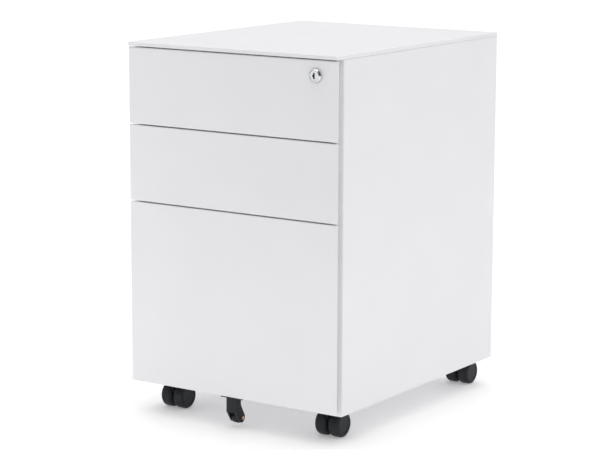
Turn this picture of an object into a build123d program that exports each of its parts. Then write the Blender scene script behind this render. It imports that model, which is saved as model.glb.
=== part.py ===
from build123d import *
import os

# A mobile steel pedestal: two box drawers over a file drawer, on four swivel casters.
# Millimetres, +Z up, drawer fronts towards -Y, origin on the floor under the middle of the box.

# Cabinet shell
cabinet_width = 390
cabinet_depth = 480
skirt_height = 46
front_rise = 5
top_thickness = 6
top_overhang = 2
top_corner_radius = 2
top_rim_width = 14
sheet = 1
inner_bend = 0.6
flange_width = 15
lip_depth = 8
back_margin = 2
back_flange_depth = 15
rail_height = 11
rail_depth = 20

# Drawer fronts
file_front_height = 291
box_front_height = 120
front_gap = 2
front_depth = 15
front_edge_flat = 0.4
front_rim_width = 8
liner_sheet = 0.8
seat_gap = 0.7

# Drawer trays
tray_sheet = 0.8
tray_length = 430
tray_hem_width = 7
tray_hem_lip = 5
tray_front_flange = 8
tray_bottom_bend = 2.5
box_tray_rise = 8
box_tray_height = 74
file_tray_clearance = 5
file_tray_height = 240

# Telescopic runners: cabinet, middle and drawer members nest inside each other
runner_length = 400
runner_height = 45
runner_width = 12.7
runner_sheet = 1.2
runner_setback = 2
outer_race = 3
inner_race = 2.4
race_clearance = 0.3
web_spacing = 1.2
cabinet_member_width = 9
middle_member_end_gap = 0.5
drawer_member_width = 7.2
pass_clearance = 0.5
box_runner_rise = 35
file_runner_rise = 90

# Posts that carry the runners
post_width = 30
post_foot = 8
front_post_setback = 70
rear_post_setback = 390

# Hanging file rails
file_rail_sheet = 1.5
file_rail_height = 12
file_rail_foot = 5
file_rail_length = 400
file_rail_setback = 12

# Cam lock in the top drawer front
lock_from_side = 39
lock_from_top = 23
lock_projection = 6.2
bezel_diameter = 23
bezel_flat = 1
bezel_crown_radius = 8
lock_face_diameter = 16.6
lock_body_diameter = 18
lock_body_depth = 22
lock_nut_diameter = 25
lock_nut_thickness = 3
plug_diameter = 14.5
plug_recess = 0.8
keyway_width = 2.8
keyway_height = 9.3
keyway_step_width = 1.6
keyway_step_height = 3
keyway_depth = 12
plug_tail_diameter = 8
lock_cam_diameter = 20
lock_cam_gap = 0.3
lock_cam_thickness = 2
crank_radius = 7
crank_pin_diameter = 4
crank_pin_overrun = 1.5

# Lock bar behind the right side panel's flange, and the drawer catches it holds
lock_bar_sheet = 2
lock_bar_depth = 12
lock_bar_offset = 3
lock_bar_gap = 2.5
lock_bar_tail = 12
lock_arm_height = 12
lock_slot_play = 0.4
lock_hook_height = 10
lock_hook_overlap = 5.5
lock_hook_clearance = 1.5
guide_height = 14
guide_sheet = 1.2
guide_foot = 6
guide_clearance = 0.3
upper_guide_drop = 45
lower_guide_drop = 60
catch_sheet = 1.5
catch_height = 9
catch_length = 18
catch_gap = 2
catch_tip_clearance = 2.5
box_catch_rise = 1
file_catch_rise = 140

# Twin-wheel swivel casters
caster_height = 58
caster_inset_x = 46
caster_inset_y = 41
caster_trail = 21
caster_plate_size = 42
caster_plate_radius = 4
caster_plate_sheet = 2
caster_screw_pitch = 32
caster_screw_diameter = 4
caster_screw_head_diameter = 7
caster_screw_head_height = 2
caster_screw_length = 5
swivel_race_diameter = 22
swivel_race_height = 1.7
swivel_gap = 0.3
king_pin_diameter = 8
king_pin_length = 9
king_boss_diameter = 17
king_boss_length = 12
king_bore_floor = 0.5
wheel_diameter = 40
wheel_width = 20.5
wheel_outer_round = 5
wheel_inner_round = 6.5
wheel_hub_diameter = 27
wheel_hub_dish = 0.8
wheel_bore_depth = 17
wheel_side_gap = 0.4
hood_clearance = 1.3
hood_wall = 1.7
hood_web = 2
hood_hub_diameter = 14
hood_bridge_height = 4
hood_front_angle = 125
hood_rear_angle = 60
axle_diameter = 6
axle_end_gap = 0.5

# Anti-tip wheel under the file drawer front
tip_plate_width = 41
tip_plate_depth = 13
tip_plate_sheet = 1.6
tip_fork_width = 17.6
tip_fork_depth = 14.4
tip_block_height = 22
tip_rake_height = 10
tip_axle_height = 16.3
tip_axle_setback = 17.3
tip_boss_diameter = 16
tip_wheel_diameter = 18
tip_wheel_width = 11
tip_wheel_round = 2
tip_slot_rise = 9
tip_slot_diameter = 8
tip_wheel_clearance = 1.2
tip_wheel_side_gap = 0.3
tip_pin_diameter = 5
tip_pin_overhang = 2.5

# Play between turning pins and their bores
running_clearance = 0.05
hole_clearance = 0.2

# Levels and planes worked out from the sizes above
half_width = cabinet_width / 2
file_front_z = skirt_height + front_rise
middle_front_z = file_front_z + file_front_height + front_gap
top_front_z = middle_front_z + box_front_height + front_gap
top_z = top_front_z + box_front_height + front_gap
y_front = -(cabinet_depth - lock_projection) / 2
y_back = y_front + cabinet_depth
liner_y = y_front + front_depth
tray_y = liner_y + liner_sheet
flange_y = tray_y + seat_gap
outer_bend = inner_bend + sheet
front_edge = outer_bend + front_edge_flat
front_back_half = half_width - (front_depth - front_edge)
opening_half = half_width - flange_width
panel_inner = half_width - sheet
post_face = opening_half - pass_clearance
tray_half = post_face - runner_width
runner_y = tray_y + runner_setback
deck_z = caster_height + sheet
base_z = skirt_height + sheet
lock_x = half_width - lock_from_side
lock_z = top_front_z + box_front_height - lock_from_top
crank_reach = crank_radius * 2**0.5 / 2
bar_x = opening_half + lock_bar_offset
bar_y = flange_y + lip_depth + lock_bar_gap
hook_tip_x = opening_half - catch_tip_clearance - lock_hook_overlap
catch_y = bar_y + lock_bar_sheet + catch_gap
cam_y = y_front + lock_body_depth + lock_cam_gap
wheel_radius = wheel_diameter / 2
axle_radius = axle_diameter / 2

# Each drawer: level of its front, height of its front, level of its tray, tray height,
# height of its runners and of its lock catch above the tray
drawers = {
    "top_drawer": (
        top_front_z,
        box_front_height,
        top_front_z + box_tray_rise,
        box_tray_height,
        box_runner_rise,
        box_catch_rise,
    ),
    "middle_drawer": (
        middle_front_z,
        box_front_height,
        middle_front_z + box_tray_rise,
        box_tray_height,
        box_runner_rise,
        box_catch_rise,
    ),
    "file_drawer": (
        file_front_z,
        file_front_height,
        deck_z + file_tray_clearance,
        file_tray_height,
        file_runner_rise,
        file_catch_rise,
    ),
}

# The four casters and where their king pins stand
casters = {
    "front_left": (-half_width + caster_inset_x, y_front + caster_inset_y),
    "front_right": (half_width - caster_inset_x, y_front + caster_inset_y),
    "rear_left": (-half_width + caster_inset_x, y_back - caster_inset_y),
    "rear_right": (half_width - caster_inset_x, y_back - caster_inset_y),
}

os.makedirs("parts", exist_ok=True)


def write(builder, name):
    builder.part.label = name
    export_step(builder.part, f"parts/{name}.step")


def upright(y):
    """A plane standing at depth y, drawn in X and Z and facing the front."""
    return Plane.XZ.offset(-y)


def side_on(x, y, z):
    """A plane seen from the right, drawn in Y and Z about one point."""
    return Plane((x, y, z), x_dir=(0, 1, 0), z_dir=(1, 0, 0))


def folded(points, thickness, side=Side.LEFT):
    """Fill the open sketch with a strip of sheet folded along a line of points."""
    with BuildLine() as strip:
        fold = Polyline(*points)
        offset(fold, amount=thickness, side=side, kind=Kind.INTERSECTION)
    make_face(strip.edges())


# Top panel: a shallow pan folded down all round, with an in-turned rim that lies on the body
top_mid_y = (y_front - top_overhang + y_back) / 2
top_length = cabinet_depth + top_overhang
with BuildPart() as top_panel:
    with BuildSketch(Plane((0, top_mid_y, top_z))):
        RectangleRounded(cabinet_width, top_length, top_corner_radius)
    extrude(amount=top_thickness)
    fillet(top_panel.faces().sort_by(Axis.Z)[-1].edges(), outer_bend)
    offset(amount=-sheet, openings=top_panel.faces().sort_by(Axis.Z)[0])
    with BuildSketch(Plane((0, top_mid_y, top_z))):
        RectangleRounded(cabinet_width, top_length, top_corner_radius)
        Rectangle(cabinet_width - 2 * top_rim_width, top_length - 2 * top_rim_width, mode=Mode.SUBTRACT)
    extrude(amount=sheet)
write(top_panel, "top_panel")

# Side panels: pans with four flanges, the front one returned into a lip
with BuildPart() as left_side_panel:
    with BuildSketch(side_on(-half_width, (flange_y + y_back) / 2, (skirt_height + top_z) / 2)):
        Rectangle(y_back - flange_y, top_z - skirt_height)
    extrude(amount=flange_width)
    fillet(left_side_panel.faces().sort_by(Axis.X)[0].edges(), outer_bend)
    offset(amount=-sheet, openings=left_side_panel.faces().sort_by(Axis.X)[-1])
    with BuildSketch(side_on(-opening_half - sheet, flange_y + lip_depth / 2, (skirt_height + top_z) / 2)):
        Rectangle(lip_depth, top_z - skirt_height)
    extrude(amount=sheet)
write(left_side_panel, "left_side_panel")

with BuildPart() as right_side_panel:
    mirror(left_side_panel.part, about=Plane.YZ)
write(right_side_panel, "right_side_panel")

# Back panel: a sheet inside the rear flanges, folded forward under the top panel
back_low = base_z + back_margin
back_high = top_z - sheet - back_margin
with BuildPart() as back_panel:
    with BuildSketch(upright(y_back - sheet)):
        with Locations((0, (back_low + back_high) / 2)):
            Rectangle(2 * (panel_inner - back_margin), back_high - back_low)
        with Locations((0, (base_z + top_z) / 2)):
            Rectangle(2 * opening_half, top_z - base_z)
    extrude(amount=sheet)
    with BuildSketch(Plane((0, y_back - sheet - back_flange_depth / 2, top_z))):
        Rectangle(2 * opening_half, back_flange_depth)
    extrude(amount=-sheet)
write(back_panel, "back_panel")

# Base panel: an upturned pan between the side panels, with feet on their lower flanges
base_back = y_back - 2 * sheet
base_foot_front = flange_y + lip_depth + back_margin
with BuildPart() as base_panel:
    with BuildSketch(Plane((0, (flange_y + base_back) / 2, base_z))):
        Rectangle(2 * opening_half, base_back - flange_y)
    extrude(amount=deck_z - base_z)
    fillet(base_panel.faces().sort_by(Axis.Z)[-1].edges().sort_by(Axis.Y)[0], outer_bend)
    offset(amount=-sheet, openings=base_panel.faces().sort_by(Axis.Z)[0])
    with BuildSketch(Plane((0, (base_foot_front + base_back) / 2, base_z))):
        Rectangle(2 * (panel_inner - back_margin), base_back - base_foot_front)
        Rectangle(2 * (opening_half - sheet), base_back - base_foot_front, mode=Mode.SUBTRACT)
    extrude(amount=sheet)
    for king_x, king_y in casters.values():
        with BuildSketch(Plane((king_x, king_y, deck_z))):
            with GridLocations(caster_screw_pitch, caster_screw_pitch, 2, 2):
                Circle(caster_screw_diameter / 2 + hole_clearance)
        extrude(amount=-sheet, mode=Mode.SUBTRACT)
write(base_panel, "base_panel")

# Front top rail: a channel that ties the side panels together above the top drawer
with BuildPart() as front_top_rail:
    with BuildSketch(side_on(-opening_half, flange_y, top_z)):
        folded(
            [(rail_depth, -rail_height), (0, -rail_height), (0, 0), (rail_depth, 0)],
            sheet,
            Side.RIGHT,
        )
    extrude(amount=2 * opening_half)
write(front_top_rail, "front_top_rail")

# Runner posts: two hat channels inside each side panel
post_low = deck_z
post_high = top_z - sheet - inner_bend
post_drop = panel_inner - post_face - sheet
with BuildPart() as left_runner_posts:
    for setback in (front_post_setback, rear_post_setback):
        with BuildSketch(Plane((-panel_inner, y_front + setback, post_low))):
            folded(
                [
                    (0, -post_width / 2 - post_foot),
                    (0, -post_width / 2),
                    (post_drop, -post_width / 2),
                    (post_drop, post_width / 2),
                    (0, post_width / 2),
                    (0, post_width / 2 + post_foot),
                ],
                sheet,
                Side.RIGHT,
            )
        extrude(amount=post_high - post_low)
write(left_runner_posts, "left_runner_posts")

with BuildPart() as right_runner_posts:
    mirror(left_runner_posts.part, about=Plane.YZ)
write(right_runner_posts, "right_runner_posts")


def runner_pair(profile, runner_z):
    """One folded member, drawn from the left post face inwards, and its mirror image."""
    with BuildPart() as pair:
        with BuildSketch(Plane((-post_face, runner_y, runner_z), x_dir=(1, 0, 0), z_dir=(0, -1, 0))):
            folded(profile, runner_sheet, Side.RIGHT)
        extrude(amount=-runner_length)
        mirror(about=Plane.YZ)
    return pair


# Runner profiles: distance from the post face, and height from the middle of the runner
cabinet_member_half = runner_height / 2
middle_member_half = cabinet_member_half - runner_sheet - outer_race
drawer_member_half = middle_member_half - runner_sheet - inner_race
cabinet_lip = middle_member_half + race_clearance
middle_lip = drawer_member_half + race_clearance
middle_web = runner_sheet + web_spacing
middle_edge = runner_width - runner_sheet - middle_member_end_gap
drawer_edge = runner_width - drawer_member_width
cabinet_member_profile = [
    (cabinet_member_width, -cabinet_lip),
    (cabinet_member_width, -cabinet_member_half),
    (0, -cabinet_member_half),
    (0, cabinet_member_half),
    (cabinet_member_width, cabinet_member_half),
    (cabinet_member_width, cabinet_lip),
]
middle_member_profile = [
    (middle_edge, -middle_lip),
    (middle_edge, -middle_member_half),
    (middle_web, -middle_member_half),
    (middle_web, middle_member_half),
    (middle_edge, middle_member_half),
    (middle_edge, middle_lip),
]
drawer_member_profile = [
    (drawer_edge, drawer_member_half),
    (runner_width, drawer_member_half),
    (runner_width, -drawer_member_half),
    (drawer_edge, -drawer_member_half),
]

# Drawers: a bevelled front pan, a liner on its rim, a folded tray, runners and a lock catch
for drawer, (front_z, front_height, tray_z, tray_height, runner_rise, catch_rise) in drawers.items():
    front_mid_z = front_z + front_height / 2
    tray_top = tray_z + tray_height
    has_lock = drawer == "top_drawer"

    with BuildPart() as front:
        with BuildSketch(Plane.XY.offset(front_z)):
            Polygon(
                (-half_width, y_front),
                (half_width, y_front),
                (half_width, y_front + front_edge),
                (front_back_half, liner_y),
                (-front_back_half, liner_y),
                (-half_width, y_front + front_edge),
                align=None,
            )
        extrude(amount=front_height)
        fillet(front.faces().sort_by(Axis.Y)[0].edges(), outer_bend)
        offset(amount=-sheet, openings=front.faces().sort_by(Axis.Y)[-1])
        with BuildSketch(Plane((0, liner_y, front_mid_z), x_dir=(1, 0, 0), z_dir=(0, -1, 0))):
            Rectangle(2 * front_back_half, front_height)
            Rectangle(
                2 * (front_back_half - front_rim_width),
                front_height - 2 * front_rim_width,
                mode=Mode.SUBTRACT,
            )
        extrude(amount=sheet)
        if has_lock:
            with BuildSketch(Plane((lock_x, y_front, lock_z), x_dir=(1, 0, 0), z_dir=(0, -1, 0))):
                Circle(lock_body_diameter / 2 + hole_clearance)
            extrude(amount=-sheet, mode=Mode.SUBTRACT)
    write(front, f"{drawer}_front")

    with BuildPart() as liner:
        with BuildSketch(Plane((0, liner_y, front_mid_z), x_dir=(1, 0, 0), z_dir=(0, -1, 0))):
            Rectangle(2 * front_back_half, front_height)
            if has_lock:
                with Locations((lock_x, lock_z - front_mid_z)):
                    Circle(lock_body_diameter / 2 + hole_clearance, mode=Mode.SUBTRACT)
        extrude(amount=-liner_sheet)
    write(liner, f"{drawer}_liner")

    with BuildPart() as tray:
        with BuildSketch(Plane((0, tray_y + tray_length / 2, tray_z))):
            Rectangle(2 * tray_half, tray_length)
        extrude(amount=tray_height)
        fillet(
            tray.faces().sort_by(Axis.Z)[0].edges().filter_by(Axis.Y),
            tray_bottom_bend,
        )
        offset(
            amount=-tray_sheet,
            openings=[tray.faces().sort_by(Axis.Z)[-1], tray.faces().sort_by(Axis.Y)[0]],
        )
        with BuildSketch(upright(tray_y)):
            for side in (-1, 1):
                hem_x = side * (tray_half - tray_hem_width)
                hem_inner_x = hem_x + side * tray_sheet
                with BuildLine():
                    Polyline(
                        (hem_x, tray_top - tray_hem_lip),
                        (hem_x, tray_top),
                        (side * tray_half, tray_top),
                        (side * tray_half, tray_top - tray_sheet),
                        (hem_inner_x, tray_top - tray_sheet),
                        (hem_inner_x, tray_top - tray_hem_lip),
                        close=True,
                    )
                make_face()
        extrude(amount=-tray_length)
        with BuildSketch(Plane((0, tray_y + tray_length - tray_hem_width / 2, tray_top))):
            Rectangle(2 * tray_half, tray_hem_width)
        extrude(amount=-tray_sheet)
        with BuildSketch(upright(tray_y)):
            for side in (-1, 1):
                with Locations((side * (tray_half + tray_front_flange / 2), tray_z + tray_height / 2)):
                    Rectangle(tray_front_flange + 2 * tray_sheet, tray_height)
        extrude(amount=-tray_sheet)
    write(tray, f"{drawer}_tray")

    runner_z = tray_z + runner_rise
    write(runner_pair(cabinet_member_profile, runner_z), f"{drawer}_cabinet_runners")
    write(runner_pair(middle_member_profile, runner_z), f"{drawer}_middle_runners")
    write(runner_pair(drawer_member_profile, runner_z), f"{drawer}_runners")

    with BuildPart() as catch:
        with BuildSketch(Plane((tray_half, catch_y, tray_z + catch_rise))):
            folded(
                [(opening_half - catch_tip_clearance - tray_half, 0), (0, 0), (0, catch_length)],
                catch_sheet,
                Side.RIGHT,
            )
        extrude(amount=catch_height)
    write(catch, f"{drawer}_catch")

# Hanging file rails: angle strips along the top of the file tray's sides
file_tray_top = deck_z + file_tray_clearance + file_tray_height
for side, outer_edge, name in ((-1, Align.MIN, "left_file_rail"), (1, Align.MAX, "right_file_rail")):
    with BuildPart() as file_rail:
        with BuildSketch(upright(tray_y + file_rail_setback)):
            with Locations((side * tray_half, file_tray_top)):
                Rectangle(file_rail_foot, file_rail_sheet, align=(outer_edge, Align.MIN))
                Rectangle(file_rail_sheet, file_rail_height, align=(outer_edge, Align.MIN))
        extrude(amount=-file_rail_length)
    write(file_rail, name)

# Lock barrel: domed bezel, threaded body and the bore for the plug
lock_axis = Axis((lock_x, y_front, lock_z), (0, 1, 0))
lock_profile_plane = Plane((lock_x, y_front, lock_z), x_dir=(1, 0, 0), z_dir=(0, 0, 1))
plug_bore = plug_diameter / 2 + running_clearance
with BuildPart() as lock_barrel:
    with BuildSketch(lock_profile_plane):
        with BuildLine():
            Polyline(
                (lock_face_diameter / 2, -lock_projection),
                (plug_bore, -lock_projection),
                (plug_bore, lock_body_depth),
                (lock_body_diameter / 2, lock_body_depth),
                (lock_body_diameter / 2, 0),
                (bezel_diameter / 2, 0),
                (bezel_diameter / 2, -bezel_flat),
            )
            RadiusArc(
                (bezel_diameter / 2, -bezel_flat),
                (lock_face_diameter / 2, -lock_projection),
                bezel_crown_radius,
            )
        make_face()
    revolve(axis=lock_axis)
write(lock_barrel, "lock_barrel")

# Lock nut: clamps the barrel behind the sheet of the front
with BuildPart() as lock_nut:
    with BuildSketch(Plane((lock_x, y_front + sheet, lock_z), x_dir=(1, 0, 0), z_dir=(0, -1, 0))):
        RegularPolygon(lock_nut_diameter / 2, 6)
        Circle(lock_body_diameter / 2 + running_clearance, mode=Mode.SUBTRACT)
    extrude(amount=-lock_nut_thickness)
write(lock_nut, "lock_nut")

# Lock plug: turns in the barrel, with a stepped keyway and a tail for the cam
plug_face_y = y_front - lock_projection + plug_recess
with BuildPart() as lock_plug:
    with BuildSketch(Plane((lock_x, plug_face_y, lock_z), x_dir=(1, 0, 0), z_dir=(0, -1, 0))):
        Circle(plug_diameter / 2)
    extrude(amount=plug_face_y - cam_y)
    with BuildSketch(Plane((lock_x, cam_y, lock_z), x_dir=(1, 0, 0), z_dir=(0, -1, 0))):
        Circle(plug_tail_diameter / 2)
    extrude(amount=-lock_cam_thickness)
    with BuildSketch(Plane((lock_x, plug_face_y, lock_z), x_dir=(1, 0, 0), z_dir=(0, -1, 0))):
        Rectangle(keyway_width, keyway_height)
        with Locations((-keyway_width / 2, 0)):
            Rectangle(2 * keyway_step_width, keyway_step_height)
    extrude(amount=-keyway_depth, mode=Mode.SUBTRACT)
write(lock_plug, "lock_plug")

# Lock cam: a disc on the plug's tail with an eccentric pin that lifts the lock bar
crank_pin_length = bar_y + lock_bar_sheet + crank_pin_overrun - cam_y
with BuildPart() as lock_cam:
    with BuildSketch(Plane((lock_x, cam_y, lock_z), x_dir=(1, 0, 0), z_dir=(0, -1, 0))):
        Circle(lock_cam_diameter / 2)
        Circle(plug_tail_diameter / 2 + running_clearance, mode=Mode.SUBTRACT)
    extrude(amount=-lock_cam_thickness)
    with BuildSketch(
        Plane((lock_x + crank_reach, cam_y, lock_z - crank_reach), x_dir=(1, 0, 0), z_dir=(0, -1, 0))
    ):
        Circle(crank_pin_diameter / 2)
    extrude(amount=-crank_pin_length)
write(lock_cam, "lock_cam")

# Lock bar: a strip with an arm slotted for the crank pin and one hook below each catch
arm_z = lock_z - crank_reach
slot_half = (crank_radius - crank_reach) / 2 + crank_pin_diameter / 2 + lock_slot_play
slot_mid_x = lock_x + (crank_radius + crank_reach) / 2
arm_tip_x = slot_mid_x - slot_half - lock_bar_sheet
hook_levels = {
    drawer: tray_z + catch_rise - lock_hook_clearance - lock_hook_height
    for drawer, (front_z, front_height, tray_z, tray_height, runner_rise, catch_rise) in drawers.items()
}
bar_low = hook_levels["file_drawer"] - lock_bar_tail
bar_high = arm_z + lock_arm_height / 2
bar_edge_x = bar_x + lock_bar_sheet
with BuildPart() as lock_bar:
    with BuildSketch(side_on(bar_x, bar_y + lock_bar_depth / 2, (bar_low + bar_high) / 2)):
        Rectangle(lock_bar_depth, bar_high - bar_low)
    extrude(amount=lock_bar_sheet)
    with BuildSketch(upright(bar_y)):
        for hook_z in hook_levels.values():
            with Locations(((hook_tip_x + bar_edge_x) / 2, hook_z + lock_hook_height / 2)):
                Rectangle(bar_edge_x - hook_tip_x, lock_hook_height)
        with Locations(((arm_tip_x + bar_edge_x) / 2, arm_z)):
            Rectangle(bar_edge_x - arm_tip_x, lock_arm_height)
        with Locations((slot_mid_x, arm_z)):
            Rectangle(2 * slot_half, crank_pin_diameter + 2 * lock_slot_play, mode=Mode.SUBTRACT)
    extrude(amount=-lock_bar_sheet)
write(lock_bar, "lock_bar")

# Lock bar guides: straps on the right side panel that the bar slides through
guide_bridge = panel_inner - bar_x + guide_clearance
guide_span = lock_bar_depth + 2 * guide_clearance
guide_levels = (
    hook_levels["top_drawer"] - upper_guide_drop,
    hook_levels["middle_drawer"] - lower_guide_drop,
)
with BuildPart() as lock_bar_guides:
    for guide_z in guide_levels:
        with BuildSketch(Plane((panel_inner, bar_y - guide_clearance, guide_z))):
            folded(
                [
                    (0, -guide_foot),
                    (0, 0),
                    (-guide_bridge, 0),
                    (-guide_bridge, guide_span),
                    (0, guide_span),
                    (0, guide_span + guide_foot),
                ],
                guide_sheet,
            )
        extrude(amount=guide_height)
write(lock_bar_guides, "lock_bar_guides")

# Caster plates: pressed plates with a swivel race and a riveted king pin
plate_under = caster_height - caster_plate_sheet
with BuildPart() as caster_plates:
    for king_x, king_y in casters.values():
        with BuildSketch(Plane((king_x, king_y, caster_height))):
            RectangleRounded(caster_plate_size, caster_plate_size, caster_plate_radius)
            with GridLocations(caster_screw_pitch, caster_screw_pitch, 2, 2):
                Circle(caster_screw_diameter / 2 + hole_clearance, mode=Mode.SUBTRACT)
        extrude(amount=-caster_plate_sheet)
        with BuildSketch(Plane((king_x, king_y, plate_under))):
            Circle(swivel_race_diameter / 2)
        extrude(amount=-swivel_race_height)
        with BuildSketch(Plane((king_x, king_y, plate_under))):
            Circle(king_pin_diameter / 2)
        extrude(amount=-swivel_race_height - king_pin_length)
write(caster_plates, "caster_plates")

# Caster screws: four to each plate, driven up through the base panel
with BuildPart() as caster_screws:
    for king_x, king_y in casters.values():
        with BuildSketch(Plane((king_x, king_y, plate_under))):
            with GridLocations(caster_screw_pitch, caster_screw_pitch, 2, 2):
                Circle(caster_screw_head_diameter / 2)
        extrude(amount=-caster_screw_head_height)
        with BuildSketch(Plane((king_x, king_y, plate_under))):
            with GridLocations(caster_screw_pitch, caster_screw_pitch, 2, 2):
                Circle(caster_screw_diameter / 2)
        extrude(amount=caster_plate_sheet + caster_screw_length)
write(caster_screws, "caster_screws")

# Casters: a moulded hood over the wheels, swivelling on the king pin, an axle and two wheels
boss_top = plate_under - swivel_race_height - swivel_gap
hood_inner = wheel_radius + hood_clearance
hood_outer = hood_inner + hood_wall
hood_half_width = hood_web / 2 + wheel_side_gap + wheel_width - wheel_outer_round / 2
hood_sweep = hood_front_angle - hood_rear_angle
bridge_length = caster_trail + hood_hub_diameter / 2
bridge_z = boss_top - king_boss_length + hood_bridge_height / 2
wheel_inner_face = hood_web / 2 + wheel_side_gap
for caster, (king_x, king_y) in casters.items():
    axle_y = king_y + caster_trail
    axle_plane = side_on(king_x, axle_y, wheel_radius)
    bridge_place = (bridge_length / 2 - caster_trail, bridge_z - wheel_radius)

    with BuildPart() as hood:
        with BuildSketch(axle_plane):
            with BuildLine():
                outer = CenterArc((0, 0), hood_outer, hood_rear_angle, hood_sweep)
                inner = CenterArc((0, 0), hood_inner, hood_rear_angle, hood_sweep)
                Line(outer @ 0, inner @ 0)
                Line(outer @ 1, inner @ 1)
            make_face()
        extrude(amount=hood_half_width, both=True)
        with BuildSketch(axle_plane):
            with Locations(bridge_place):
                Rectangle(bridge_length, hood_bridge_height)
        extrude(amount=king_boss_diameter / 2, both=True)
        with BuildSketch(axle_plane) as web:
            with Locations(bridge_place):
                Rectangle(bridge_length, hood_bridge_height)
            Circle(hood_hub_diameter / 2)
            make_hull(web.edges())
        extrude(amount=hood_web / 2, both=True)
        with BuildSketch(Plane((king_x, king_y, boss_top))):
            Circle(king_boss_diameter / 2)
        extrude(amount=-king_boss_length)
        with BuildSketch(Plane((king_x, king_y, boss_top))):
            Circle(king_pin_diameter / 2 + running_clearance)
        extrude(amount=-king_pin_length + swivel_gap - king_bore_floor, mode=Mode.SUBTRACT)
        with BuildSketch(axle_plane):
            Circle(axle_radius + running_clearance)
        extrude(amount=hood_web, both=True, mode=Mode.SUBTRACT)
    write(hood, f"{caster}_caster_hood")

    with BuildPart() as axle:
        with BuildSketch(axle_plane):
            Circle(axle_radius)
        extrude(amount=wheel_inner_face + wheel_bore_depth - axle_end_gap, both=True)
    write(axle, f"{caster}_caster_axle")

    for side, hand in ((-1, "left"), (1, "right")):
        wheel_origin = (king_x + side * wheel_inner_face, axle_y, wheel_radius)
        with BuildPart() as wheel:
            with BuildSketch(Plane(wheel_origin, x_dir=(side, 0, 0), z_dir=(0, -side, 0))) as section:
                with BuildLine():
                    Polyline(
                        (0, axle_radius + running_clearance),
                        (0, wheel_radius),
                        (wheel_width, wheel_radius),
                        (wheel_width, wheel_hub_diameter / 2),
                        (wheel_width - wheel_hub_dish, wheel_hub_diameter / 2 - wheel_hub_dish),
                        (wheel_width - wheel_hub_dish, 0),
                        (wheel_bore_depth, 0),
                        (wheel_bore_depth, axle_radius + running_clearance),
                        close=True,
                    )
                make_face()
                fillet(section.vertices().group_by(Axis.Y)[-1].sort_by(Axis.X)[0], wheel_inner_round)
                fillet(section.vertices().group_by(Axis.Y)[-1].sort_by(Axis.X)[-1], wheel_outer_round)
            revolve(axis=Axis(wheel_origin, (1, 0, 0)))
        write(wheel, f"{caster}_caster_{hand}_wheel")

# Anti-tip wheel: a plate under the file front, a raked fork, a pin and a small wheel
tip_y = y_front + front_depth / 2
tip_axle_y = y_front + tip_axle_setback
tip_plate_under = file_front_z - tip_plate_sheet
with BuildPart() as anti_tip_plate:
    with BuildSketch(Plane((0, tip_y, file_front_z))):
        Rectangle(tip_plate_width, tip_plate_depth)
    extrude(amount=-tip_plate_sheet)
write(anti_tip_plate, "anti_tip_plate")

tip_axle_plane = side_on(0, tip_axle_y, tip_axle_height)
tip_block_y = tip_y - tip_axle_y
tip_block_top = tip_plate_under - tip_axle_height
tip_knee = tip_block_top - tip_block_height
tip_slot_y = tip_block_y - (tip_fork_depth - tip_slot_diameter) / 2
with BuildPart() as anti_tip_fork:
    with BuildSketch(tip_axle_plane) as rake:
        with Locations((tip_block_y, tip_knee + tip_rake_height / 2)):
            Rectangle(tip_fork_depth, tip_rake_height)
        Circle(tip_boss_diameter / 2)
        make_hull(rake.edges())
        with Locations((tip_block_y, tip_block_top - tip_block_height / 2)):
            Rectangle(tip_fork_depth, tip_block_height)
    extrude(amount=tip_fork_width / 2, both=True)
    with BuildSketch(tip_axle_plane) as slot:
        Circle(tip_wheel_diameter / 2 + tip_wheel_clearance)
        with Locations((tip_slot_y, tip_slot_rise)):
            Circle(tip_slot_diameter / 2)
        make_hull(slot.edges())
    extrude(amount=tip_wheel_width / 2 + tip_wheel_side_gap, both=True, mode=Mode.SUBTRACT)
    with BuildSketch(tip_axle_plane):
        Circle(tip_pin_diameter / 2 + running_clearance)
    extrude(amount=tip_fork_width, both=True, mode=Mode.SUBTRACT)
write(anti_tip_fork, "anti_tip_fork")

with BuildPart() as anti_tip_pin:
    with BuildSketch(tip_axle_plane):
        Circle(tip_pin_diameter / 2)
    extrude(amount=tip_fork_width / 2 + tip_pin_overhang, both=True)
write(anti_tip_pin, "anti_tip_pin")

with BuildPart() as anti_tip_wheel:
    with BuildSketch(tip_axle_plane):
        Circle(tip_wheel_diameter / 2)
    extrude(amount=tip_wheel_width / 2, both=True)
    fillet(anti_tip_wheel.edges(), tip_wheel_round)
    with BuildSketch(tip_axle_plane):
        Circle(tip_pin_diameter / 2 + running_clearance)
    extrude(amount=tip_wheel_width, both=True, mode=Mode.SUBTRACT)
write(anti_tip_wheel, "anti_tip_wheel")
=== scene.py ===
import math

import bmesh
import bpy
from mathutils import Matrix, Vector


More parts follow.
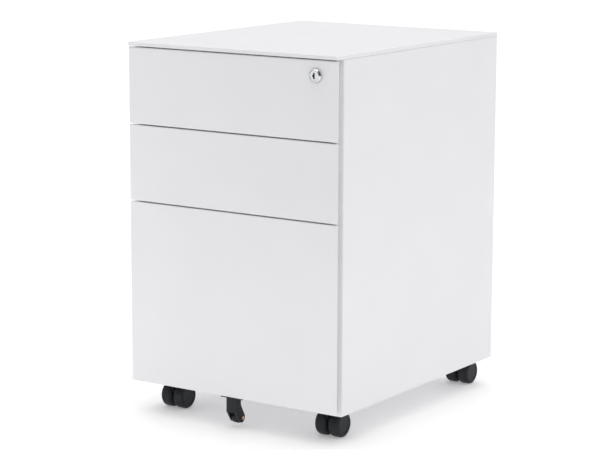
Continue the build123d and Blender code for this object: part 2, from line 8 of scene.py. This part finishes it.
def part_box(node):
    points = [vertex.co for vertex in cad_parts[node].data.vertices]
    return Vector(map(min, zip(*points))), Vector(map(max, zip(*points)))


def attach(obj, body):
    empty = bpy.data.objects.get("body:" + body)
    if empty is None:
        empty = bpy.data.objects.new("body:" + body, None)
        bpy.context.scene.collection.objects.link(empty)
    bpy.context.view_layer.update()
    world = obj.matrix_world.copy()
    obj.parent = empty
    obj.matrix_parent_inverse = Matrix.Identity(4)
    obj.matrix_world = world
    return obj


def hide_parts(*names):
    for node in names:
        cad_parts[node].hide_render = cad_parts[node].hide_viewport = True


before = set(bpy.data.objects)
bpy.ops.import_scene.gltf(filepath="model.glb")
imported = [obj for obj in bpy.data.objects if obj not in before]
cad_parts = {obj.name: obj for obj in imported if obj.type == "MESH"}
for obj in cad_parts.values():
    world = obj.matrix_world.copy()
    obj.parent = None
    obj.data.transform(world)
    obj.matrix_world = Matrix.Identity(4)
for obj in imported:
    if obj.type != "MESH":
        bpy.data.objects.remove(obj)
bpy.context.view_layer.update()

# Cabinet shell: pans folded from 1 mm cold-rolled steel and welded into a box.
# Everything is washed, sprayed with white polyester powder and baked, which leaves
# a satin skin with a faint orange peel.


def new_material(name):
    """An empty finish with one shader, ready for its colours."""
    material = bpy.data.materials.new(name)
    material.use_nodes = True
    tree = material.node_tree
    tree.nodes.clear()
    output = tree.nodes.new("ShaderNodeOutputMaterial")
    shader = tree.nodes.new("ShaderNodeBsdfPrincipled")
    tree.links.new(shader.outputs["BSDF"], output.inputs["Surface"])
    return material, tree, shader


def grain(tree, scale, detail, stretch=(1, 1, 1)):
    """A noise over the piece's own place in the frame."""
    place = tree.nodes.new("ShaderNodeTexCoord")
    mapping = tree.nodes.new("ShaderNodeMapping")
    mapping.inputs["Scale"].default_value = stretch
    noise = tree.nodes.new("ShaderNodeTexNoise")
    noise.inputs["Scale"].default_value = scale
    noise.inputs["Detail"].default_value = detail
    tree.links.new(place.outputs["Object"], mapping.inputs["Vector"])
    tree.links.new(mapping.outputs["Vector"], noise.inputs["Vector"])
    return noise.outputs["Fac"]


noise_low, noise_high = 0.3, 0.7


def spread(tree, factor, low, high):
    """The noise stretched between two values."""
    reach = tree.nodes.new("ShaderNodeMapRange")
    reach.inputs["From Min"].default_value = noise_low
    reach.inputs["From Max"].default_value = noise_high
    reach.inputs["To Min"].default_value = low
    reach.inputs["To Max"].default_value = high
    tree.links.new(factor, reach.inputs["Value"])
    return reach.outputs["Result"]


def tint(tree, factor, dark, light):
    """Two close colours mixed by the noise."""
    ramp = tree.nodes.new("ShaderNodeValToRGB")
    ramp.color_ramp.elements[0].position = noise_low
    ramp.color_ramp.elements[0].color = (*dark, 1)
    ramp.color_ramp.elements[1].position = noise_high
    ramp.color_ramp.elements[1].color = (*light, 1)
    tree.links.new(factor, ramp.inputs["Fac"])
    return ramp.outputs["Color"]


def relief(tree, shader, factor, strength, depth):
    """The noise as a fine relief of the surface."""
    bump = tree.nodes.new("ShaderNodeBump")
    bump.inputs["Strength"].default_value = strength
    bump.inputs["Distance"].default_value = depth
    tree.links.new(factor, bump.inputs["Height"])
    tree.links.new(bump.outputs["Normal"], shader.inputs["Normal"])


def dress(material, *names):
    """Gives the named pieces this finish."""
    for name in names:
        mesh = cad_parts[name].data
        mesh.materials.clear()
        mesh.materials.append(material)


white_powder_coat, coat_tree, coat = new_material("white_powder_coat")
coat_peel = grain(coat_tree, 420, 3)
coat_cloud = grain(coat_tree, 9, 2)
coat_tree.links.new(
    tint(coat_tree, coat_cloud, (0.838, 0.836, 0.862), (0.856, 0.854, 0.880)),
    coat.inputs["Base Color"],
)
coat_tree.links.new(spread(coat_tree, coat_peel, 0.36, 0.46), coat.inputs["Roughness"])
coat.inputs["Specular IOR Level"].default_value = 0.4
relief(coat_tree, coat, coat_peel, 0.12, 0.0002)
dress(
    white_powder_coat,
    "top_panel",
    "left_side_panel",
    "right_side_panel",
    "back_panel",
    "base_panel",
    "front_top_rail",
    "left_runner_posts",
    "right_runner_posts",
)

# Drawers: bevelled front pans closed by a liner, and open trays folded from 0.8 mm
# sheet. Front, liner and tray are welded together and powder coated as one.
drawers = ("top_drawer", "middle_drawer", "file_drawer")
for drawer in drawers:
    dress(white_powder_coat, f"{drawer}_front", f"{drawer}_liner", f"{drawer}_tray")

# Telescopic runners, catches and file rails: roll-formed strip in bright zinc,
# riveted or spot welded to the posts and the trays.
zinc_plate, zinc_tree, zinc = new_material("zinc_plate")
zinc_streak = grain(zinc_tree, 60, 4, (6, 0.5, 6))
zinc_tree.links.new(
    tint(zinc_tree, zinc_streak, (0.50, 0.51, 0.53), (0.66, 0.67, 0.69)),
    zinc.inputs["Base Color"],
)
zinc_tree.links.new(spread(zinc_tree, zinc_streak, 0.28, 0.42), zinc.inputs["Roughness"])
zinc.inputs["Metallic"].default_value = 1.0
relief(zinc_tree, zinc, zinc_streak, 0.05, 0.0002)
for drawer in drawers:
    dress(
        zinc_plate,
        f"{drawer}_cabinet_runners",
        f"{drawer}_middle_runners",
        f"{drawer}_runners",
        f"{drawer}_catch",
    )
dress(zinc_plate, "left_file_rail", "right_file_rail")

# Lock barrel: a zinc die casting, turned on a lathe to a domed bezel with a raised
# lip, polished and chrome plated. It passes through the top drawer front, and a
# hexagon nut clamps it behind the sheet.
lock_low, lock_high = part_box("lock_barrel")
lock_x = (lock_low[0] + lock_high[0]) / 2
lock_z = (lock_low[2] + lock_high[2]) / 2
bezel_projection = 0.0062
bezel_radius = 0.0115
bezel_flat = 0.0010
shoulder_radius = 0.01098
shoulder_rise = 0.00425
shoulder_round = 0.0032
lip_radius = 0.0083
lip_round = 0.0004
bore_radius = 0.0073
body_radius = 0.0090
lip_y = lock_low[1]
seat_y = lip_y + bezel_projection
shoulder_y = seat_y - shoulder_rise
body_end_y = lock_high[1]
barrel_outline = (
    (bezel_radius, seat_y),
    (bezel_radius, seat_y - bezel_flat),
    (shoulder_radius, shoulder_y),
    (lip_radius, lip_y),
    (bore_radius, lip_y),
    (bore_radius, body_end_y),
    (body_radius, body_end_y),
    (body_radius, seat_y),
)
lathe_steps = 96
barrel_shape = bmesh.new()
barrel_points = [
    barrel_shape.verts.new((lock_x + radius, y, lock_z)) for radius, y in barrel_outline
]
for start, end in zip(barrel_points, barrel_points[1:] + barrel_points[:1]):
    barrel_shape.edges.new((start, end))
bmesh.ops.spin(
    barrel_shape,
    geom=barrel_shape.verts[:] + barrel_shape.edges[:],
    cent=(lock_x, 0, lock_z),
    axis=(0, 1, 0),
    angle=math.tau,
    steps=lathe_steps,
    use_merge=True,
)
bmesh.ops.recalc_face_normals(barrel_shape, faces=barrel_shape.faces[:])


def ring_edges(shape, radius, y):
    """The edges of the circle that a lathe tool would follow at this radius and depth."""
    near = 1e-5
    return [
        edge
        for edge in shape.edges
        if all(
            abs(math.hypot(vert.co.x - lock_x, vert.co.z - lock_z) - radius) < near
            and abs(vert.co.y - y) < near
            for vert in edge.verts
        )
    ]


def round_edges(shape, edges, round_off, segments):
    """Edges broken to a small radius."""
    bmesh.ops.bevel(
        shape,
        geom=edges,
        offset=round_off,
        offset_type="OFFSET",
        affect="EDGES",
        segments=segments,
        profile=0.5,
        material=-1,
    )


def make_piece(name, shape, material):
    """The finished shape as a piece of its own, with its place in its mesh."""
    mesh = bpy.data.meshes.new(name)
    shape.to_mesh(mesh)
    shape.free()
    mesh.materials.append(material)
    piece = bpy.data.objects.new(name, mesh)
    bpy.context.scene.collection.objects.link(piece)
    return piece


for radius, y, round_off, segments in (
    (shoulder_radius, shoulder_y, shoulder_round, 12),
    (lip_radius, lip_y, lip_round, 4),
    (bore_radius, lip_y, lip_round, 4),
):
    round_edges(barrel_shape, ring_edges(barrel_shape, radius, y), round_off, segments)
sharp_corner = 0.6
for face in barrel_shape.faces:
    face.smooth = True
for edge in barrel_shape.edges:
    edge.smooth = edge.calc_face_angle(0) < sharp_corner
bright_chrome, chrome_tree, chrome = new_material("bright_chrome")
chrome_haze = grain(chrome_tree, 800, 2)
chrome_tree.links.new(
    tint(chrome_tree, chrome_haze, (0.64, 0.65, 0.67), (0.70, 0.71, 0.73)),
    chrome.inputs["Base Color"],
)
chrome_tree.links.new(spread(chrome_tree, chrome_haze, 0.05, 0.10), chrome.inputs["Roughness"])
chrome.inputs["Metallic"].default_value = 1.0
polished_lock_barrel = make_piece("polished_lock_barrel", barrel_shape, bright_chrome)
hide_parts("lock_barrel")
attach(polished_lock_barrel, "top_drawer")
dress(zinc_plate, "lock_nut")

# Lock plug: the chrome plated cylinder that the key turns. Stamped wafers stand in its keyway,
# coloured near black as painted shade of the deep keyway, and a zinc cam on its tail works the
# lock bar.
dress(bright_chrome, "lock_plug")
plug_face_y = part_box("lock_plug")[0][1]
keyway_shade_wafer, wafer_tree, wafer = new_material("keyway_shade_wafer")
wafer_shade_grain = grain(wafer_tree, 900, 3)
# The wafer colour is near black: painted shade standing in for the dark depth of the keyway.
wafer_tree.links.new(
    tint(wafer_tree, wafer_shade_grain, (0.004, 0.0036, 0.003), (0.010, 0.009, 0.007)),
    wafer.inputs["Base Color"],
)
wafer_tree.links.new(spread(wafer_tree, wafer_shade_grain, 0.45, 0.65), wafer.inputs["Roughness"])
wafer.inputs["Specular IOR Level"].default_value = 0.2
wafer_count = 4
wafer_setback = 0.0004
wafer_pitch = 0.0028
wafer_thickness = 0.0018
wafer_edge_round = 0.0001
wafer_and_ward = ((0.0026, 0.0091, 0), (0.0014, 0.0028, -0.0021))
wafer_shape = bmesh.new()
for row in range(wafer_count):
    wafer_y = plug_face_y + wafer_setback + wafer_pitch * row + wafer_thickness / 2
    for width, height, shift in wafer_and_ward:
        plate = bmesh.ops.create_cube(wafer_shape, size=1)["verts"]
        bmesh.ops.scale(wafer_shape, vec=(width, wafer_thickness, height), verts=plate)
        bmesh.ops.translate(wafer_shape, vec=(lock_x + shift, wafer_y, lock_z), verts=plate)
round_edges(wafer_shape, wafer_shape.edges[:], wafer_edge_round, 2)
lock_wafers = make_piece("lock_wafers", wafer_shape, keyway_shade_wafer)
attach(lock_wafers, "lock_plug")
dress(zinc_plate, "lock_cam", "lock_bar", "lock_bar_guides")

# Casters: pressed zinc plates screwed under the base, and black moulded nylon hoods
# and wheels on a steel axle.
black_nylon, nylon_tree, nylon = new_material("black_nylon")
nylon_skin = grain(nylon_tree, 500, 3)
nylon_tree.links.new(
    tint(nylon_tree, nylon_skin, (0.016, 0.017, 0.021), (0.025, 0.026, 0.031)),
    nylon.inputs["Base Color"],
)
nylon_tree.links.new(spread(nylon_tree, nylon_skin, 0.40, 0.54), nylon.inputs["Roughness"])
nylon.inputs["Specular IOR Level"].default_value = 0.2
relief(nylon_tree, nylon, nylon_skin, 0.10, 0.0002)
dress(zinc_plate, "caster_plates", "caster_screws")
for corner in ("front_left", "front_right", "rear_left", "rear_right"):
    dress(zinc_plate, f"{corner}_caster_axle")
    dress(
        black_nylon,
        f"{corner}_caster_hood",
        f"{corner}_caster_left_wheel",
        f"{corner}_caster_right_wheel",
    )

# Anti-tip wheel: a black plate welded under the file front, a moulded fork and a
# small wheel that runs on a brass pin.
black_paint, paint_tree, paint = new_material("black_paint")
paint_peel = grain(paint_tree, 420, 3)
paint_tree.links.new(
    tint(paint_tree, paint_peel, (0.014, 0.016, 0.018), (0.022, 0.024, 0.027)),
    paint.inputs["Base Color"],
)
paint_tree.links.new(spread(paint_tree, paint_peel, 0.40, 0.52), paint.inputs["Roughness"])
relief(paint_tree, paint, paint_peel, 0.12, 0.0002)
dress(black_paint, "anti_tip_plate")
dress(black_nylon, "anti_tip_fork", "anti_tip_wheel")
turned_brass, brass_tree, brass = new_material("turned_brass")
brass_haze = grain(brass_tree, 600, 2)
brass_tree.links.new(
    tint(brass_tree, brass_haze, (0.62, 0.43, 0.17), (0.72, 0.52, 0.23)),
    brass.inputs["Base Color"],
)
brass_tree.links.new(spread(brass_tree, brass_haze, 0.24, 0.36), brass.inputs["Roughness"])
brass.inputs["Metallic"].default_value = 1.0
dress(turned_brass, "anti_tip_pin")

# Studio: a white floor that runs out to a white surround, a large soft light overhead,
# a smaller one on the left, low strip lights in front and on the right, and a black
# card on each side that only the glossy pieces mirror.
studio_white, _, studio = new_material("studio_white")
studio.inputs["Base Color"].default_value = (0.85, 0.85, 0.85, 1)
studio.inputs["Roughness"].default_value = 0.6
studio.inputs["Specular IOR Level"].default_value = 0.2
studio.inputs["Emission Color"].default_value = (1, 1, 1, 1)
studio.inputs["Emission Strength"].default_value = 0.24
floor_half = 30
floor_shape = bmesh.new()
bmesh.ops.create_grid(floor_shape, x_segments=1, y_segments=1, size=floor_half)
make_piece("floor", floor_shape, studio_white)

sky_slope = (0.045, 0.20, 1.40)
sky_at_horizon = 0.10
world = bpy.data.worlds.new("studio")
world.use_nodes = True
world_tree = world.node_tree
surround = world_tree.nodes["Background"]
surround.inputs["Color"].default_value = (1, 1, 1, 1)
direction = world_tree.nodes.new("ShaderNodeTexCoord")
slope = world_tree.nodes.new("ShaderNodeVectorMath")
slope.operation = "DOT_PRODUCT"
slope.inputs[1].default_value = sky_slope
level = world_tree.nodes.new("ShaderNodeMath")
level.operation = "ADD"
level.inputs[1].default_value = sky_at_horizon
ray = world_tree.nodes.new("ShaderNodeLightPath")
backdrop = world_tree.nodes.new("ShaderNodeMath")
backdrop.operation = "MAXIMUM"
world_tree.links.new(direction.outputs["Generated"], slope.inputs[0])
world_tree.links.new(slope.outputs["Value"], level.inputs[0])
world_tree.links.new(level.outputs["Value"], backdrop.inputs[0])
world_tree.links.new(ray.outputs["Is Camera Ray"], backdrop.inputs[1])
world_tree.links.new(backdrop.outputs["Value"], surround.inputs["Strength"])
bpy.context.scene.world = world

for name, place, target, size, power, beam in (
    ("overhead", (-0.4, 0.2, 2.6), (0, 0, 0.3), (2.2, 2.2), 4.6, 180),
    ("left", (-1.05, -0.85, 0.3), (0.0, -0.2, 0.3), (0.3, 0.3), 1.0, 180),
    ("low_front", (0.0, -1.7, 0.06), (0.0, -0.24, 0.06), (1.6, 0.1), 0.16, 30),
    ("low_right", (0.80, 0.05, 0.05), (0.2, 0.05, 0.07), (1.0, 0.08), 0.2, 180),
):
    lamp = bpy.data.lights.new(name, "AREA")
    lamp.shape = "RECTANGLE"
    lamp.size, lamp.size_y = size
    lamp.energy = power
    lamp.spread = math.radians(beam)
    light = bpy.data.objects.new(name, lamp)
    light.location = place
    toward = Vector(target) - Vector(place)
    light.rotation_euler = toward.to_track_quat("-Z", "Y").to_euler()
    light.visible_camera = False
    bpy.context.scene.collection.objects.link(light)

card_black, _, card_shader = new_material("card_black")
card_shader.inputs["Base Color"].default_value = (0.02, 0.022, 0.026, 1)
card_shader.inputs["Roughness"].default_value = 0.9
lock_place = Vector((lock_x, lip_y, lock_z))
for name, place, side in (
    ("right_card", (1.36, -0.10, 1.45), 1.9),
    ("left_card", (-1.40, 0.55, 0.62), 0.9),
):
    card_shape = bmesh.new()
    bmesh.ops.create_grid(card_shape, x_segments=1, y_segments=1, size=side / 2)
    facing = (lock_place - Vector(place)).to_track_quat("Z", "Y").to_matrix()
    bmesh.ops.rotate(card_shape, cent=(0, 0, 0), matrix=facing, verts=card_shape.verts[:])
    bmesh.ops.translate(card_shape, vec=place, verts=card_shape.verts[:])
    card = make_piece(name, card_shape, card_black)
    card.visible_camera = False
    card.visible_diffuse = False
    card.visible_shadow = False

# Camera: a long lens at the viewing angle of the picture, from the front right and a
# little above the top panel.
picture_width = 600
focal_length_in_pixels = 2128.378
camera_place = (1.879032, -2.835861, 0.909421)
camera_data = bpy.data.cameras.new("camera")
camera_data.sensor_width = 36
camera_data.lens = focal_length_in_pixels / picture_width * camera_data.sensor_width
camera = bpy.data.objects.new("camera", camera_data)
bpy.context.scene.collection.objects.link(camera)
yaw, pitch, roll = 0.592737, 0.180670, -0.003023
level_reach = math.cos(pitch)
ahead = Vector((-math.sin(yaw) * level_reach, math.cos(yaw) * level_reach, -math.sin(pitch)))
across = Vector((math.cos(yaw), math.sin(yaw), 0))
under = ahead.cross(across)
turned_across = math.cos(roll) * across + math.sin(roll) * under
turned_under = -math.sin(roll) * across + math.cos(roll) * under
turn = Matrix((turned_across, -turned_under, -ahead)).transposed()
camera.matrix_world = Matrix.Translation(camera_place) @ turn.to_4x4()
bpy.context.scene.camera = camera
bpy.context.scene.view_settings.view_transform = "Standard"
